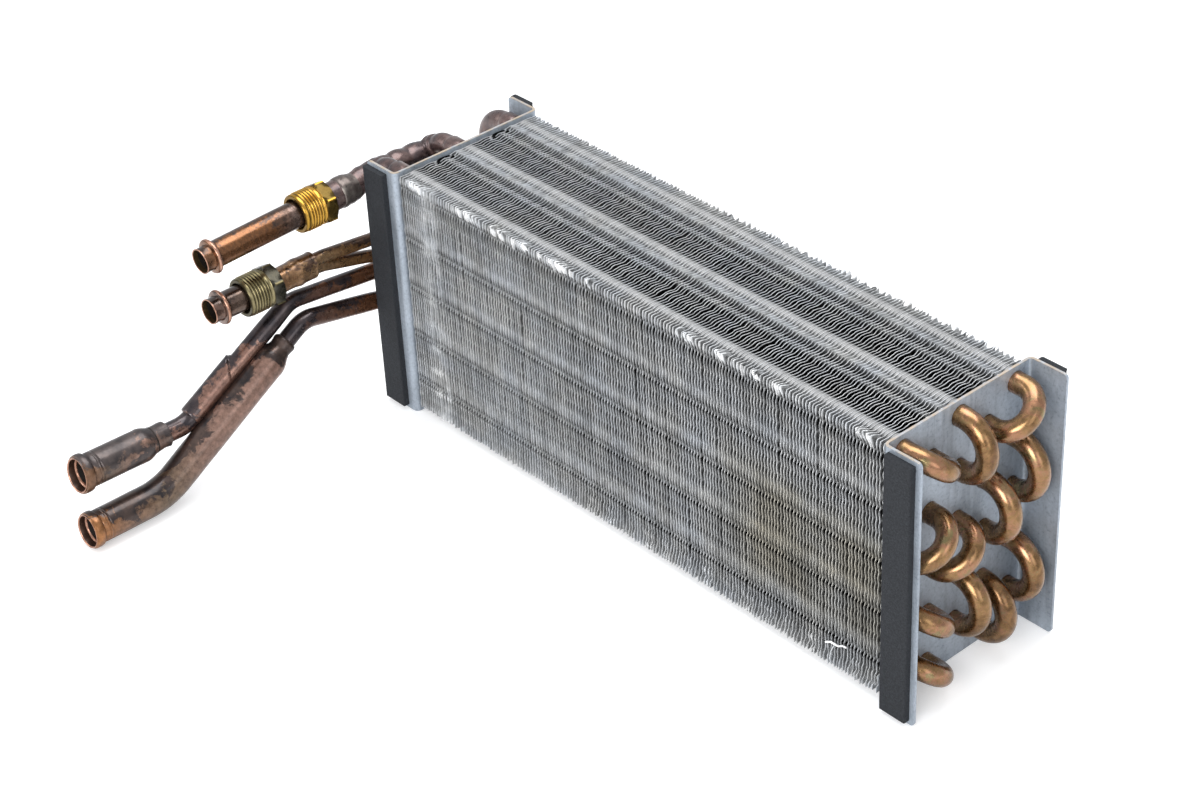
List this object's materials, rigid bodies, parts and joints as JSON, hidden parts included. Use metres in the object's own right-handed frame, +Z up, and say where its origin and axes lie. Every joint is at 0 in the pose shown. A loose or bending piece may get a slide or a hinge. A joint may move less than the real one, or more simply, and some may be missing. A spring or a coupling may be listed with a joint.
{
  "type": "evaporator coil",
  "caption": "Finned-tube evaporator coil: aluminium fins on copper hairpin tubes between flanged end plates with foam strips, brass unions and beaded water pipes.",
  "frame": {"origin": "middle of the whole part's bounding box in plan, on the surface that the end plates stand on", "axes": "+X along the tubes towards the hairpin bends, +Y from the pipes and front face towards the back, +Z up"},
  "size_m": [0.3572, 0.2586, 0.129],
  "materials": {
    "fin_aluminium": "bare thin sheet, dull with bright edges",
    "galvanised_sheet": "galvanised, dull, lightly speckled",
    "sealing_foam": "matt closed-cell foam",
    "hairpin_copper": "drawn copper tube, golden brown with a faint heat tint",
    "oxidised_copper": "copper tube, dark oxide with salmon patches",
    "warm_copper": "copper tube, warm brown, half bright",
    "bright_brass": "machined brass, bright",
    "tarnished_brass": "machined brass, tarnished olive"
  },
  "bodies": {
    "root": {"fins": "fin_aluminium", "end_plate_left": "galvanised_sheet", "end_plate_right": "galvanised_sheet", "foam_left_front": "sealing_foam", "foam_left_back": "sealing_foam", "foam_right_front": "sealing_foam", "foam_right_back": "sealing_foam", "hairpin_01": "hairpin_copper", "hairpin_02": "hairpin_copper", "hairpin_03": "hairpin_copper", "hairpin_04": "hairpin_copper", "hairpin_05": "hairpin_copper", "hairpin_06": "hairpin_copper", "hairpin_07": "hairpin_copper", "hairpin_08": "hairpin_copper", "hairpin_09": "hairpin_copper", "hairpin_10": "hairpin_copper", "hairpin_11": "hairpin_copper", "hairpin_12": "hairpin_copper", "return_bend_01": "oxidised_copper", "return_bend_02": "oxidised_copper", "return_bend_03": "oxidised_copper", "return_bend_04": "oxidised_copper", "return_bend_05": "oxidised_copper", "return_bend_06": "oxidised_copper", "return_bend_07": "oxidised_copper", "return_bend_08": "oxidised_copper", "return_bend_09": "oxidised_copper", "suction_union": "bright_brass", "liquid_union": "tarnished_brass", "suction_tube": "warm_copper", "liquid_tube": "oxidised_copper", "suction_header": "oxidised_copper", "header_cap": "oxidised_copper", "suction_stub_front": "oxidised_copper", "suction_stub_back": "oxidised_copper", "suction_sleeve": "oxidised_copper", "liquid_sleeve": "oxidised_copper", "liquid_feed_rear": "oxidised_copper", "liquid_feed_front": "oxidised_copper", "water_tube_upper": "oxidised_copper", "water_coupling": "oxidised_copper", "hose_end_upper": "oxidised_copper", "water_tube_lower": "oxidised_copper", "hose_end_lower": "oxidised_copper"}
  },
  "joints": []
}
